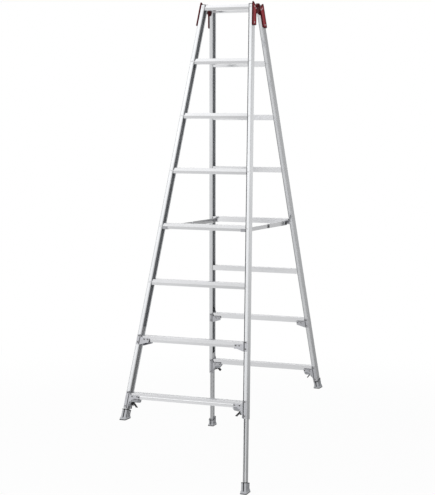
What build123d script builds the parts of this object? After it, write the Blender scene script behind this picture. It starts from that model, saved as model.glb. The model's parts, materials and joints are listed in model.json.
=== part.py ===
from build123d import *
import math
import os

# Stepladder: two hinged ladders whose four legs lengthen one by one.
# Millimetres and degrees. +X is the right of someone facing the front ladder, +Y runs to
# the rear and +Z is up. The origin is on the floor, midway between the feet.
#
# Pieces are modelled in two working frames. In a ladder's frame x runs across, y is the
# depth inwards from the outer face, and z climbs the slope from the nose of the top step.
# In a stile's frame x runs inwards from the web's outer face, y is the same depth, and z
# runs down the stile from the level of the top step's nose.

# Ladders
rung_count = 8  # on each ladder, with the top step
rung_pitch = 300.0  # nose to nose along the slope
lean_angle = 14.87  # of an open ladder from upright
splay_angle = 5.05  # of a stile, seen square to its ladder
top_width = 293.4  # over the stiles at the nose of the top step

# Stiles, channels that open inwards
stile_width = 21.0
stile_depth = 50.0
stile_wall = 2.0
stile_corner = 3.0
lip_width = 2.2
lip_height = 1.2
lip_round = 1.5
stile_drop = 64.0  # below the nose of the bottom rung
cap_thickness = 3.0
cap_round = 1.2
cap_gap = 0.3  # from the top step's tread up to the stile's end

# Rungs
rung_height = 31.0
rung_wall = 1.8
rung_nose = 5.2
rung_corner = 1.2
rung_lip_gap = 0.3
rung_web_gap = 1.0
round_nose_radius = 9.0  # of the bottom rung
groove_count = 6
groove_width = 2.0
groove_depth = 0.7

# Hinge
pivot_depth = 83.4
pivot_rise = 30.0
casting_thickness = 6.5
casting_overhang = 2.5
casting_drop = 105.0  # of the plate's outer edge
casting_inner_drop = 88.0
casting_corner = 7.0
casting_rim = 5.0
casting_recess = 1.6
horn_rise = 29.0
horn_width = 13.0
shoulder_rise = 17.0  # where the horn starts at the outer edge
saddle_rise = 20.0  # the dip between the horn and the ear
saddle_depth = 45.0
ear_reach = 14.0  # of the plate towards the hinge, past its edge
ear_top = 6.0  # above the pivot
ear_bottom = 14.4  # below the pivot
ear_root = 25.0  # of the ear down the plate's edge
lug_radius = 16.0
lug_thickness = 7.0
lug_gap = 0.4
lug_root_gap = 1.0  # from the plate's edge to the lug's arm
lug_root_rise = 24.0  # of the arm's upper edge at the plate
lug_root_drop = 22.0  # of its lower edge
lug_toe_reach = 7.0  # of the lug's lowest corner, past the pivot
lug_toe_drop = 1.0
bolt_diameter = 10.0
bolt_head_diameter = 19.0
bolt_head_height = 4.0
bolt_tail = 2.0  # past its nut
nut_radius = 8.5  # to its corners
nut_height = 4.0
bolt_clearance = 0.05

# Rivets
rivet_diameter = 5.0
rivet_head_diameter = 8.0
rivet_head_height = 1.3
rivet_head_taper = 35.0
rivet_tail = 2.5  # past the last wall it holds
rivet_line = 10.5  # of the rungs' rivets, from the web's outer face
rivet_clearance = 0.1

# Brackets of rung 7 and of the bottom rung
plate_thickness = 2.5
plate_edge = 1.5  # from the web's outer face
plate_band = 6.0  # above the rungs' noses
plate_corner = 4.0
plate_round = 2.0
gusset_reach = 50.0
gusset_rise = 22.0
gusset_drop = 30.0
lock_reach = 52.0
lock_rise = 25.0
lock_curve_reach = 17.3  # where the hollow edge turns down, from the stile
bracket_gap = 0.3

# Inner legs and feet
slide_clearance = 0.3
leg_wall = 1.8
leg_corner = 6.0
leg_margin = 100.0  # above the uppermost lock hole
hole_diameter = 9.0
hole_pitch = 31.0
hole_steps = 10
foot_gap = 3.0  # to the stile, with the leg in
foot_height = 52.0
foot_wall = 4.0
foot_flare = 5.0
sole_height = 14.0
foot_corner = 5.0
socket_floor = 16.0
steps_out = {
    ("front", "left"): 0,
    ("front", "right"): hole_steps,
    ("rear", "left"): hole_steps,
    ("rear", "right"): 0,
}

# Leg locks
pin_drop = 40.0  # below the bottom rung's nose
pin_diameter = 8.0
pin_throw = 5.65
pin_standoff = 0.4  # of a drawn pin from its leg
pin_clearance = 0.1
pin_spare = 1.0  # from a locked pin's collar to its guide
collar_diameter = 11.0
collar_thickness = 2.5
neck_diameter = 5.0
neck_length = 7.6
guide_thickness = 4.4
lever_arm = 18.0
lever_width = 20.0
lever_hub = 6.0
lever_pin_diameter = 5.0
lever_clearance = 0.05
fork_diameter = 5.2
fork_slot = 6.4
slot_spare = 1.0  # above the collars
tab_length = 37.0
tab_thickness = 4.0
tab_bead = 5.6
tab_angle = 44.0  # below level, lever drawn
housing_reach = 50.0
housing_drop = 29.0
housing_step = 16.7  # where the housing narrows to its guide, from the stile
housing_corner = 9.0
housing_gap = 0.4
cavity_width = 22.0
cavity_top = 18.0
spring_width = 10.0
spring_thickness = 0.8
spring_gap = 0.05
spring_reach = 24.0  # of its leg along the housing's roof, from the lever's pin
spring_bend = 8.0  # from the lever's pin
spring_contact = 14.0  # along the tab from the lever's pin

# Stays
stay_rung_number = 5
stay_inset = 12.0  # from the stile's lips to the plane between the two links
stay_pivot_depth = 62.0
stay_pivot_rise = 6.6
stay_thickness = 4.0
stay_gap = 0.4
front_link_height = 21.0
rear_link_height = 24.0
stay_pin_diameter = 6.0
stay_pin_head = 11.0
stay_pin_head_height = 1.6
clip_length = 24.0
clip_thickness = 2.0
clip_gap = 0.1
clip_rise = 15.0
clip_lip = 1.0  # the front lip ends this far below the nose
ear_thickness = 3.0

# Worked-out sizes
lean = math.radians(lean_angle)
splay = math.radians(splay_angle)
rung_front = stile_wall + lip_height + rung_lip_gap
rung_back = stile_depth - rung_front
leg_width = stile_width - stile_wall - lip_width - 2 * slide_clearance
leg_depth = stile_depth - 2 * stile_wall - 2 * slide_clearance
leg_start = stile_wall + slide_clearance
leg_face = leg_start + leg_width
stroke = hole_pitch * hole_steps
bottom_nose = -rung_pitch * (rung_count - 1)
stile_rise = rung_height / 2 - rung_front * math.tan(lean) + cap_gap
stile_end = (stile_drop - bottom_nose) / math.cos(splay)
pin_level = pin_drop - bottom_nose / math.cos(splay)
sole_level = stile_end + foot_gap + foot_height
leg_middle = leg_start + leg_width / 2
sole_fall = math.sin(splay) * leg_middle + math.cos(splay) * (sole_level + stroke)
far = 4 * stile_depth  # deeper than any cut needs
wide = 4 * top_width  # wider than any cut needs
past = 1.0  # that a cut runs past a face
touch = 0.01  # points nearer than this are in line


def half_width(z):
    """From a ladder's middle to the outer face of a stile, at a height up the slope."""
    return top_width / 2 - z * math.tan(splay)


def across(z, inset):
    """Where a line at a distance inwards from the web's outer face crosses a height."""
    return half_width(z) - inset / math.cos(splay)


def nose_height(rung):
    """A rung's nose in its ladder's frame; the top step is rung 1."""
    return -rung_pitch * (rung - 1)


def level_line(depth, rise):
    """Height in a ladder's frame of a plane that is level when the stepladder is open."""
    return rise + depth * math.tan(lean)


ladder_frame = Plane(
    origin=(
        0,
        -pivot_depth * math.cos(lean) - pivot_rise * math.sin(lean),
        stile_depth / 2 * math.sin(lean) + sole_fall * math.cos(lean),
    ),
    x_dir=(1, 0, 0),
    z_dir=(0, math.sin(lean), math.cos(lean)),
).location
stile_frame = Plane(
    origin=(top_width / 2, 0, 0),
    x_dir=(-math.cos(splay), 0, -math.sin(splay)),
    z_dir=(math.sin(splay), 0, -math.cos(splay)),
).location


def placed(piece, end, side="right"):
    """Sets a piece of the right half of a ladder at one end and side of the stepladder."""
    if (side == "left") == (end == "front"):
        piece = mirror(piece, about=Plane.YZ)
    turn = 0 if end == "front" else 180
    return Rot(0, 0, turn) * ladder_frame * piece


def sideways(outline, start, end):
    """A solid with an outline in y and z, between two places along x."""
    return extrude(Plane.YZ.offset(start) * outline, end - start)


def deep(outline, start, end):
    """A solid with an outline in x and z, between two depths."""
    return extrude(Plane.XZ.offset(-end) * outline, end - start)


def rod(diameter, start, end):
    """A round bar along x, about the x axis."""
    return sideways(Circle(diameter / 2), start, end)


def depth_rod(x, z, diameter, start, end):
    """A round bar along y."""
    return deep(Pos(x, z) * Circle(diameter / 2), start, end)


def box(x, y, z):
    """A box from its lowest and highest places along each axis."""
    size = (x[1] - x[0], y[1] - y[0], z[1] - z[0])
    return Pos(x[0], y[0], z[0]) * Box(*size, align=(Align.MIN, Align.MIN, Align.MIN))


def level_space(low, high):
    """The space across a ladder between two level planes, given by their heights at depth 0."""
    outline = Polygon(
        (-far, level_line(-far, low)),
        (far, level_line(far, low)),
        (far, level_line(far, high)),
        (-far, level_line(-far, high)),
        align=None,
    )
    return sideways(outline, -wide, wide)


def between_stiles(inset):
    """The space across a ladder, up to a distance inwards from the webs' outer faces."""
    top = rung_pitch
    bottom = bottom_nose - rung_pitch
    outline = Polygon(
        (-across(bottom, inset), bottom),
        (across(bottom, inset), bottom),
        (across(top, inset), top),
        (-across(top, inset), top),
        align=None,
    )
    return deep(outline, -far, far)


# Stiles
def stile_outline():
    body = Rectangle(stile_width, stile_depth, align=(Align.MIN, Align.MIN))
    web_corners = body.vertices().group_by(Axis.X)[0]
    body = fillet(web_corners, stile_corner)
    hollow_depth = stile_depth - 2 * stile_wall
    hollow_width = stile_width - stile_wall - lip_width
    hollow = Pos(stile_wall, stile_wall) * Rectangle(
        hollow_width, hollow_depth, align=(Align.MIN, Align.MIN)
    )
    mouth_edge = stile_wall + lip_height
    mouth = Pos(stile_width - lip_width, mouth_edge) * Rectangle(
        2 * lip_width, stile_depth - 2 * mouth_edge, align=(Align.MIN, Align.MIN)
    )
    channel = body - hollow - mouth
    tips = [v for v in channel.vertices() if abs(v.X - stile_width) < touch]
    return fillet(tips, lip_round)


def stile():
    top = level_line(stile_depth, stile_rise) / math.cos(splay) + stile_width
    channel = extrude(Pos(0, 0, -top) * stile_outline(), top + stile_end)
    return stile_frame * channel - level_space(stile_rise, far)


def end_cap():
    """Closes a stile's top, rounded along its upper edge."""
    top = level_line(stile_depth, stile_rise + cap_thickness) + stile_width
    blank = Rectangle(stile_width, stile_depth, align=(Align.MIN, Align.MIN))
    blank = fillet(blank.vertices(), stile_corner)
    block = stile_frame * extrude(Pos(0, 0, -top) * blank, 2 * top)
    cap = block & level_space(stile_rise, stile_rise + cap_thickness)
    upper = cap.faces().sort_by(Axis.Z)[-1]
    return fillet(upper.edges(), cap_round)


# Rungs
def rung_outline(nose_radius):
    """A rung's section in depth and height: level tread and underside, and a pointed nose."""
    front = rung_front + rung_nose

    def corner(depth, side):
        return (depth, level_line(depth - rung_front, side * rung_height / 2))

    outline = Polygon(
        (rung_front, 0),
        corner(front, -1),
        corner(rung_back, -1),
        corner(rung_back, 1),
        corner(front, 1),
        align=None,
    )
    rest = [v for v in outline.vertices() if v.X > rung_front + touch]
    outline = fillet(rest, rung_corner)
    nose = outline.vertices().sort_by(Axis.X)[0]
    return fillet(nose, nose_radius)


def rung_section(nose_radius):
    outline = rung_outline(nose_radius)
    section = outline - offset(outline, -rung_wall)
    tread = rung_back - rung_front - rung_nose
    step = tread / (groove_count + 1)
    for number in range(1, groove_count + 1):
        depth = rung_front + rung_nose + number * step
        height = level_line(depth - rung_front, rung_height / 2)
        groove = Rot(0, 0, lean_angle) * Rectangle(groove_width, 2 * groove_depth)
        section -= Pos(depth, height) * groove
    return section


def rung(number):
    """The lowest two stop at the stiles' lips, clear of the inner legs; the rest reach the webs."""
    nose_radius = round_nose_radius if number == rung_count else rung_corner
    inset = stile_wall + rung_web_gap
    if number > rung_count - 2:
        inset = stile_width + bracket_gap
    bar = sideways(rung_section(nose_radius), -wide, wide)
    bar = Pos(0, 0, nose_height(number)) * bar
    bar &= between_stiles(inset)
    if number <= rung_count - 2:
        for hole in rung_rivet_holes(number):
            bar -= hole
            bar -= mirror(hole, about=Plane.YZ)
    return bar


# Rivets that hold the rungs in the stiles
def rung_rivet_places(number):
    """Places of a rung's rivets at the right: across, height and face, 0 outer or 1 inner."""
    nose = nose_height(number)
    back = nose + level_line(rung_back - rung_front, 0)
    return [(across(nose, rivet_line), nose, 0), (across(back, rivet_line), back, 1)]


def rivet_span(face):
    """Depths of a rivet's head face and tail, at the outer or inner flange."""
    reach = rung_front + rung_wall + rivet_tail
    return (0, reach) if face == 0 else (stile_depth - reach, stile_depth)


def rung_rivet_holes(number):
    bore = rivet_diameter + 2 * rivet_clearance
    return [
        depth_rod(x, z, bore, rivet_span(face)[0] - past, rivet_span(face)[1] + past)
        for x, z, face in rung_rivet_places(number)
    ]


def rivet(x, z, face):
    """A rivet with a coned head on the outer or inner face of a stile."""
    start, end = rivet_span(face)
    shank = depth_rod(x, z, rivet_diameter, start, end)
    seat = start if face == 0 else end
    normal = -1 if face == 0 else 1
    base = Plane(origin=(x, seat, z), x_dir=(1, 0, 0), z_dir=(0, normal, 0))
    head = extrude(base * Circle(rivet_head_diameter / 2), rivet_head_height, taper=rivet_head_taper)
    return shank + head


def rung_rivets(end):
    rivets = []
    for number in range(1, rung_count - 1):
        for place in rung_rivet_places(number):
            one = rivet(*place)
            rivets += [placed(one, end, "left"), placed(one, end, "right")]
    return rivets


def drilled_stile():
    channel = stile()
    for number in range(1, rung_count - 1):
        for hole in rung_rivet_holes(number):
            channel -= hole
    return channel


# Hinge castings
def casting_outline():
    """The plate on a web's outer face, in depth and distance down the stile."""
    edge = stile_depth + casting_overhang
    outline = Polygon(
        (-casting_overhang, casting_drop),
        (-casting_overhang, -shoulder_rise),
        (0, -horn_rise),
        (horn_width / 2, -horn_rise),
        (saddle_depth, -saddle_rise),
        (edge + ear_reach, -pivot_rise - ear_top),
        (edge + ear_reach, -pivot_rise + ear_bottom),
        (edge, ear_root),
        (edge, casting_inner_drop),
        align=None,
    )
    lower = [v for v in outline.vertices() if v.Y > ear_root + touch]
    return fillet(lower, casting_corner)


def lug_outline(bore):
    """The hinge lug in depth and height: a disc about the pivot and a web back to the plate."""
    root = stile_depth + casting_overhang + lug_root_gap
    arm = Polygon(
        (root, -lug_root_drop),
        (pivot_depth + lug_toe_reach, -lug_toe_drop),
        (pivot_depth + lug_radius, pivot_rise),
        (pivot_depth, pivot_rise + lug_radius),
        (root, lug_root_rise),
        align=None,
    )
    pivot = Pos(pivot_depth, pivot_rise)
    return arm + pivot * Circle(lug_radius) - pivot * Circle(bore / 2)


def hinge_casting(end):
    """A plate with a raised rim and a lug: outside the other ladder's lug in front, inside behind."""
    outline = casting_outline()
    plate = sideways(outline, -casting_thickness, 0)
    panel = offset(outline, -casting_rim)
    plate -= sideways(panel, -casting_thickness, casting_recess - casting_thickness)
    middle = half_width(pivot_rise) + casting_thickness / 2
    if end == "front":
        start = middle + lug_gap / 2
    else:
        start = middle - lug_gap / 2 - lug_thickness
    lug = sideways(lug_outline(bolt_diameter + 2 * bolt_clearance), start, start + lug_thickness)
    return stile_frame * plate + lug


def hinge_bolts():
    """A bolt and its nut at each side, through both lugs."""
    pieces = []
    middle = half_width(pivot_rise) + casting_thickness / 2
    outer = middle + lug_gap / 2 + lug_thickness
    inner = middle - lug_gap / 2 - lug_thickness - lug_gap
    tail = inner - nut_height - bolt_tail
    bolt = rod(bolt_diameter, tail, outer)
    bolt += rod(bolt_head_diameter, outer, outer + bolt_head_height)
    nut = sideways(RegularPolygon(nut_radius, 6), inner - nut_height, inner)
    nut -= rod(bolt_diameter, tail, outer)
    for piece in (bolt, nut):
        piece = Pos(0, pivot_depth, pivot_rise) * piece
        pieces += [placed(piece, "front", "left"), placed(piece, "front", "right")]
    return pieces


# Brackets over the flanges, under the two lowest rungs
def stile_point(inset, nose, below):
    """A point of a stile's frame at a distance below a rung's nose line."""
    return (inset, -nose / math.cos(splay) + below - inset * math.tan(splay))


def bracket(number, outline, reach):
    """Front and back plates over the flanges, joined by a web under the rung."""
    nose = nose_height(number)
    plates = deep(outline, -plate_thickness, 0)
    plates += deep(outline, stile_depth, stile_depth + plate_thickness)
    under = nose - rung_height / 2 - rung_front * math.tan(lean)
    tip = across(nose, stile_width) - bracket_gap
    depths = (-plate_thickness, stile_depth + plate_thickness)
    web = box((tip - reach, tip), depths, (nose - far, nose + far))
    web &= level_space(under - plate_thickness / math.cos(lean), under)
    return stile_frame * plates + web


def gusset():
    number = rung_count - 1
    nose = nose_height(number)
    tip = stile_width + gusset_reach
    outline = Polygon(
        stile_point(plate_edge, nose, -gusset_rise),
        stile_point(stile_width, nose, -gusset_rise),
        stile_point(stile_width + plate_corner, nose, -plate_band),
        stile_point(tip, nose, -plate_band),
        stile_point(tip, nose, rung_height / 2),
        stile_point(stile_width + plate_corner, nose, gusset_drop),
        stile_point(plate_edge, nose, gusset_drop),
        align=None,
    )
    return bracket(number, fillet(outline.vertices(), plate_round), gusset_reach)


def lock_bracket():
    """The bracket's plates run down the flanges to the stile's end along a hollow curve."""
    nose = bottom_nose
    tip = stile_width + lock_reach
    lower = stile_point(stile_width + plate_corner, nose, stile_drop)
    toe = stile_point(tip, nose, rung_height / 2 - plate_thickness)
    bend = stile_point(stile_width + lock_curve_reach, nose, rung_height / 2 + plate_corner)
    edge = Spline(toe, bend, lower)
    rest = Polyline(
        lower,
        stile_point(plate_edge, nose, stile_drop),
        stile_point(plate_edge, nose, -lock_rise),
        stile_point(stile_width, nose, -lock_rise),
        stile_point(stile_width + plate_corner, nose, -plate_band),
        stile_point(tip, nose, -plate_band),
        toe,
    )
    outline = make_face([edge, rest])
    piece = bracket(rung_count, outline, lock_reach)
    hole = lever_pin_diameter + 2 * rivet_clearance
    return piece - stile_frame * lever_pin(hole)


# Leg locks
guide_start = stile_width + bracket_gap
collar_front = guide_start + guide_thickness + pin_throw + pin_spare
fork_start = collar_front + collar_thickness + neck_length / 2
lever_place = (fork_start - pin_throw / 2, pin_level - lever_arm)


def lever_pin(diameter):
    """The pin that a lever turns on, from plate to plate."""
    x, z = lever_place
    return depth_rod(x, z, diameter, -plate_thickness, stile_depth + plate_thickness)


def lock_pin():
    """A pin with a neck between two collars, drawn clear of its leg."""
    neck = collar_front + collar_thickness
    tail = neck + neck_length
    pin = rod(pin_diameter, leg_face + pin_standoff, collar_front)
    pin += rod(collar_diameter, collar_front, neck)
    pin += rod(neck_diameter, neck, tail)
    pin += rod(collar_diameter, tail, tail + collar_thickness)
    return Pos(0, stile_depth / 2, pin_level) * pin


def lever():
    """A hub with a forked arm about the pin's neck, and a finger tab."""
    x, z = lever_place
    fork = Pos(fork_start - x, lever_arm)
    swing = math.degrees(math.atan2(fork_start - x, lever_arm))
    middle = Pos((fork_start - x) / 2, lever_arm / 2)
    arm = middle * Rot(0, 0, -swing) * Rectangle(fork_diameter, lever_arm)
    blade = Rectangle(tab_length, tab_thickness, align=(Align.MIN, Align.CENTER))
    tab = Rot(0, 0, tab_angle) * (blade + Pos(tab_length, 0) * Circle(tab_bead / 2))
    outline = Circle(lever_hub) + arm + fork * Circle(fork_diameter / 2) + tab
    outline -= Circle(lever_pin_diameter / 2 + lever_clearance)
    low = (stile_depth - lever_width) / 2
    piece = deep(outline, low, low + lever_width)
    slot_low = (stile_depth - fork_slot) / 2
    slot_top = lever_arm - collar_diameter / 2 - slot_spare
    slot = box(
        (-lever_hub, fork_start - x + fork_diameter),
        (slot_low, slot_low + fork_slot),
        (slot_top, lever_arm + fork_diameter),
    )
    return Pos(x, 0, z) * (piece - slot)


def strip_between(start, end, width):
    """A straight strip from point to point, with round ends."""
    length = math.hypot(end[0] - start[0], end[1] - start[1])
    turn = math.degrees(math.atan2(end[1] - start[1], end[0] - start[0]))
    strip = Pos(length / 2, 0) * SlotCenterToCenter(length, width)
    return Pos(*start) * Rot(0, 0, turn) * strip


def lever_spring():
    """A leaf spring that lies under the housing's roof and presses the lever's tab down."""
    x, z = lever_place
    half = spring_gap + spring_thickness / 2

    def under_roof(inset):
        place, roof = stile_point(inset, bottom_nose, cavity_top)
        return (place, roof + half)

    turn = math.radians(tab_angle)
    above = tab_thickness / 2 + half
    contact = (
        x + spring_contact * math.cos(turn) + above * math.sin(turn),
        z + spring_contact * math.sin(turn) - above * math.cos(turn),
    )
    bend = under_roof(x + spring_bend)
    leaf = strip_between(bend, under_roof(x + spring_reach), spring_thickness)
    leaf += strip_between(bend, contact, spring_thickness)
    low = (stile_depth - spring_width) / 2
    return deep(leaf, low, low + spring_width)


def lock_housing():
    """A moulded block between the bracket's plates: a guide for the pin and room for the lever."""
    nose = bottom_nose
    start = guide_start
    tip = stile_width + housing_reach
    outline = Polygon(
        stile_point(start, nose, 0),
        stile_point(tip, nose, 0),
        stile_point(tip, nose, housing_drop),
        stile_point(stile_width + housing_step, nose, housing_drop),
        stile_point(start + guide_thickness, nose, pin_drop + collar_diameter),
        stile_point(start, nose, pin_drop + collar_diameter),
        align=None,
    )
    corner = outline.vertices().sort_by_distance(stile_point(tip, nose, housing_drop))[0]
    outline = fillet(corner, housing_corner)
    block = deep(outline, housing_gap, stile_depth - housing_gap)
    cavity_low = (stile_depth - cavity_width) / 2
    cavity = Polygon(
        stile_point(start + guide_thickness, nose, cavity_top),
        stile_point(tip - plate_corner, nose, cavity_top),
        stile_point(tip - plate_corner, nose, far),
        stile_point(start + guide_thickness, nose, far),
        align=None,
    )
    block -= deep(cavity, cavity_low, cavity_low + cavity_width)
    block -= Pos(0, stile_depth / 2, pin_level) * rod(pin_diameter + 2 * pin_clearance, 0, tip)
    block -= lever_pin(lever_pin_diameter + 2 * rivet_clearance)
    under = nose - rung_height / 2 - rung_front * math.tan(lean)
    web_under = under - plate_thickness / math.cos(lean) - housing_gap
    return stile_frame * block - level_space(web_under, web_under + far)


# Inner legs and feet
def inner_leg(extension):
    """A tube in the stile's channel with a row of lock holes in its inner wall."""
    top = pin_level - stroke - leg_margin
    bottom = sole_level - socket_floor
    outline = Rectangle(leg_width, leg_depth, align=(Align.MIN, Align.MIN))
    outline = fillet(outline.vertices(), leg_corner)
    section = outline - offset(outline, -leg_wall)
    tube = extrude(Pos(leg_start, leg_start, top) * section, bottom - top)
    for step in range(hole_steps + 1):
        hole = rod(hole_diameter, leg_middle, leg_face + past)
        tube -= Pos(0, stile_depth / 2, pin_level - step * hole_pitch) * hole
    return stile_frame * (Pos(0, 0, extension) * tube)


def foot(extension):
    """A shoe on the leg's end, flared to a sole that is level when the stepladder is open."""
    width = leg_width + 2 * foot_wall
    depth = leg_depth + 2 * foot_wall
    top = stile_end + foot_gap
    flare_top = sole_level - sole_height - foot_flare
    middle = Pos(leg_middle, stile_depth / 2)
    upper = fillet(Rectangle(width, depth).vertices(), foot_corner)
    lower_blank = Rectangle(width + 2 * foot_flare, depth + 2 * foot_flare)
    lower = fillet(lower_blank.vertices(), foot_corner)
    shoe = extrude(middle * Pos(0, 0, top) * upper, flare_top - top)
    flare_end = sole_level - sole_height + foot_flare
    shoe += loft([middle * Pos(0, 0, flare_top) * upper, middle * Pos(0, 0, flare_end) * lower])
    shoe += extrude(middle * Pos(0, 0, flare_end) * lower, 2 * sole_height)
    socket = Rectangle(leg_width + 2 * bracket_gap, leg_depth + 2 * bracket_gap)
    socket = fillet(socket.vertices(), leg_corner)
    shoe -= extrude(middle * Pos(0, 0, top - past) * socket, sole_level - socket_floor - top + past)
    shoe = stile_frame * (Pos(0, 0, extension) * shoe)
    sole = -math.sin(splay) * leg_middle - math.cos(splay) * (sole_level + extension)
    cut = level_line(-stile_depth / 2, sole)
    return shoe - level_space(cut - far, cut)


# Stays
def stay_plane():
    """Where the plane between a stay's two links crosses the ladder."""
    return across(nose_height(stay_rung_number), stile_width + stay_inset)


def stay_pivot():
    return (stay_pivot_depth, nose_height(stay_rung_number) + stay_pivot_rise)


def stay_length():
    """From a link's end pivot to the middle of the open stepladder."""
    depth, rise = stay_pivot()
    return (pivot_depth - depth) * math.cos(lean) + (pivot_rise - rise) * math.sin(lean)


def stay_link(height, start):
    """A flat link, level when open, with half of the middle rivet as a head on its outer side."""
    length = stay_length()
    outline = SlotCenterToCenter(length, height)
    outline = Pos(length / 2, 0) * outline
    outline -= Circle(stay_pin_diameter / 2 + lever_clearance)
    depth, rise = stay_pivot()
    link = sideways(outline, start, start + stay_thickness)
    outwards = start > stay_plane()
    head_start = start + stay_thickness if outwards else start - stay_pin_head_height
    head = rod(stay_pin_head, head_start, head_start + stay_pin_head_height)
    return Pos(0, depth, rise) * (Rot(lean_angle, 0, 0) * (link + Pos(0, length, 0) * head))


def link_start(end):
    if end == "front":
        return stay_plane() + stay_gap / 2
    return stay_plane() - stay_gap / 2 - stay_thickness


def ear_start(end):
    """Each bracket's ear is on the far side of its link from the other link."""
    if end == "front":
        return link_start(end) + stay_thickness + stay_gap
    return link_start(end) - stay_gap - ear_thickness


def stay_bracket(end):
    """A clip round the lower half of the rung, with an ear for the link's rivet."""
    nose = nose_height(stay_rung_number)
    outline = rung_outline(rung_corner)
    clip = offset(outline, clip_gap + clip_thickness) - offset(outline, clip_gap)
    front_cut = Pos(0, -clip_lip) * Rectangle(stile_depth, far, align=(Align.CENTER, Align.MIN))
    back_cut = Pos(0, clip_rise) * Rectangle(far, far, align=(Align.MIN, Align.MIN))
    clip = clip - front_cut - back_cut
    edge = across(nose + rung_height, stile_width) - bracket_gap
    strip = sideways(clip, edge - clip_length, edge)
    depth, rise = stay_pivot()
    seat = rung_back + clip_gap
    ear = Polygon(
        (seat, clip_rise),
        (seat, level_line(seat - rung_front, -rung_height / 2)),
        (depth, rise - nose - front_link_height / 2),
        (depth, rise - nose + front_link_height / 2),
        align=None,
    )
    ear += Pos(depth, rise - nose) * Circle(front_link_height / 2)
    ear -= Pos(depth, rise - nose) * Circle(stay_pin_diameter / 2 + rivet_clearance)
    start = ear_start(end)
    strip += sideways(ear, start, start + ear_thickness)
    return Pos(0, 0, nose) * strip


def stay_pin(end):
    """The rivet that a link turns on, headed at both ends."""
    link, ear = link_start(end), ear_start(end)
    start = min(link, ear) - stay_gap
    finish = max(link + stay_thickness, ear + ear_thickness) + stay_gap
    pin = rod(stay_pin_diameter, start, finish)
    pin += rod(stay_pin_head, start - stay_pin_head_height, start)
    pin += rod(stay_pin_head, finish, finish + stay_pin_head_height)
    depth, rise = stay_pivot()
    return Pos(0, depth, rise) * pin


# Assembly
def build():
    """Every node's name and its piece or pieces, in the stepladder's frame."""
    nodes = {"hinge_bolts": hinge_bolts()}
    channel, cap, brace = drilled_stile(), end_cap(), gusset()
    lock_plate, housing, handle = lock_bracket(), lock_housing(), lever()
    lock_bar = lock_pin()
    rungs = [rung(number) for number in range(1, rung_count + 1)]
    for end in ("front", "rear"):
        casting, clip = hinge_casting(end), stay_bracket(end)
        link_height = front_link_height if end == "front" else rear_link_height
        link = stay_link(link_height, link_start(end))
        pins = [stile_frame * lever_pin(lever_pin_diameter), stile_frame * lever_spring()]
        pins.append(stay_pin(end))
        sides = ("left", "right")
        nodes[f"top_step_{end}"] = placed(rungs[0], end)
        for number in range(2, rung_count):
            nodes[f"rung_{end}_{number}"] = placed(rungs[number - 1], end)
        nodes[f"bottom_rung_{end}"] = placed(rungs[-1], end)
        nodes[f"rung_rivets_{end}"] = rung_rivets(end)
        nodes[f"pivot_pins_{end}"] = [placed(pin, end, side) for pin in pins for side in sides]
        nodes[f"end_caps_{end}"] = [placed(cap, end, side) for side in sides]
        nodes[f"gussets_{end}"] = [placed(brace, end, side) for side in sides]
        nodes[f"lock_brackets_{end}"] = [placed(lock_plate, end, side) for side in sides]
        nodes[f"lock_housings_{end}"] = [placed(housing, end, side) for side in sides]
        nodes[f"stay_brackets_{end}"] = [placed(clip, end, side) for side in sides]
        for side in sides:
            extension = steps_out[end, side] * hole_pitch
            nodes[f"stile_{end}_{side}"] = placed(channel, end, side)
            nodes[f"hinge_casting_{end}_{side}"] = placed(casting, end, side)
            nodes[f"inner_leg_{end}_{side}"] = placed(inner_leg(extension), end, side)
            nodes[f"foot_{end}_{side}"] = placed(foot(extension), end, side)
            nodes[f"lock_lever_{end}_{side}"] = placed(stile_frame * handle, end, side)
            nodes[f"lock_pin_{end}_{side}"] = placed(stile_frame * lock_bar, end, side)
            nodes[f"stay_link_{end}_{side}"] = placed(link, end, side)
    return nodes


os.makedirs("parts", exist_ok=True)
for name, piece in build().items():
    if isinstance(piece, list):
        piece = Compound(children=[solid for part in piece for solid in part.solids()])
    export_step(piece, f"parts/{name}.step")
hinge_line = (ladder_frame * Pos(0, pivot_depth, pivot_rise)).position
print(f"stay length {stay_length():.1f}, hinge height {hinge_line.Z:.1f}")
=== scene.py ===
"""Looks of the stepladder: finishes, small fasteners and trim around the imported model."""
import json
import math

import bmesh
import bpy
from mathutils import Matrix, Vector

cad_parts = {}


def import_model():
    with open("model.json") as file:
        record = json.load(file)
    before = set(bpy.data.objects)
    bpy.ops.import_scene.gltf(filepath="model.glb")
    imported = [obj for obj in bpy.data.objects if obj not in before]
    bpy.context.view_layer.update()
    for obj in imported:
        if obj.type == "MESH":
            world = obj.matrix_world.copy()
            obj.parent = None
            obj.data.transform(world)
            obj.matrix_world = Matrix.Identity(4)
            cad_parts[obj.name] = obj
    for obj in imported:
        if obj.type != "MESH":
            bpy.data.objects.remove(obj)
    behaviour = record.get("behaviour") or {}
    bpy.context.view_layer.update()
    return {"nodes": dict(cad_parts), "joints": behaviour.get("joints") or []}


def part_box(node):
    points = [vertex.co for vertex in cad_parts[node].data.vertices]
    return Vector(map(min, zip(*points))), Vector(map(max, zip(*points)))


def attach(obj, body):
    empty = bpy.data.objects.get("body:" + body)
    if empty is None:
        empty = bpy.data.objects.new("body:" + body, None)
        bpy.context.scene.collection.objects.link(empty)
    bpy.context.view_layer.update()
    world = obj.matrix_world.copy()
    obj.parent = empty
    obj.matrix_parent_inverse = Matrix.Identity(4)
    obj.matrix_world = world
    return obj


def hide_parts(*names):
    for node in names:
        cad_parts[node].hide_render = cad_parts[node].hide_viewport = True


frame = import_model()

MM = 0.001
UP = Vector((0, 0, 1))
ENDS = ("front", "rear")
SIDES = ("left", "right")
CORNERS = [(end, side) for end in ENDS for side in SIDES]
JOINTS = {joint["name"]: joint for joint in frame["joints"]}

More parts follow.
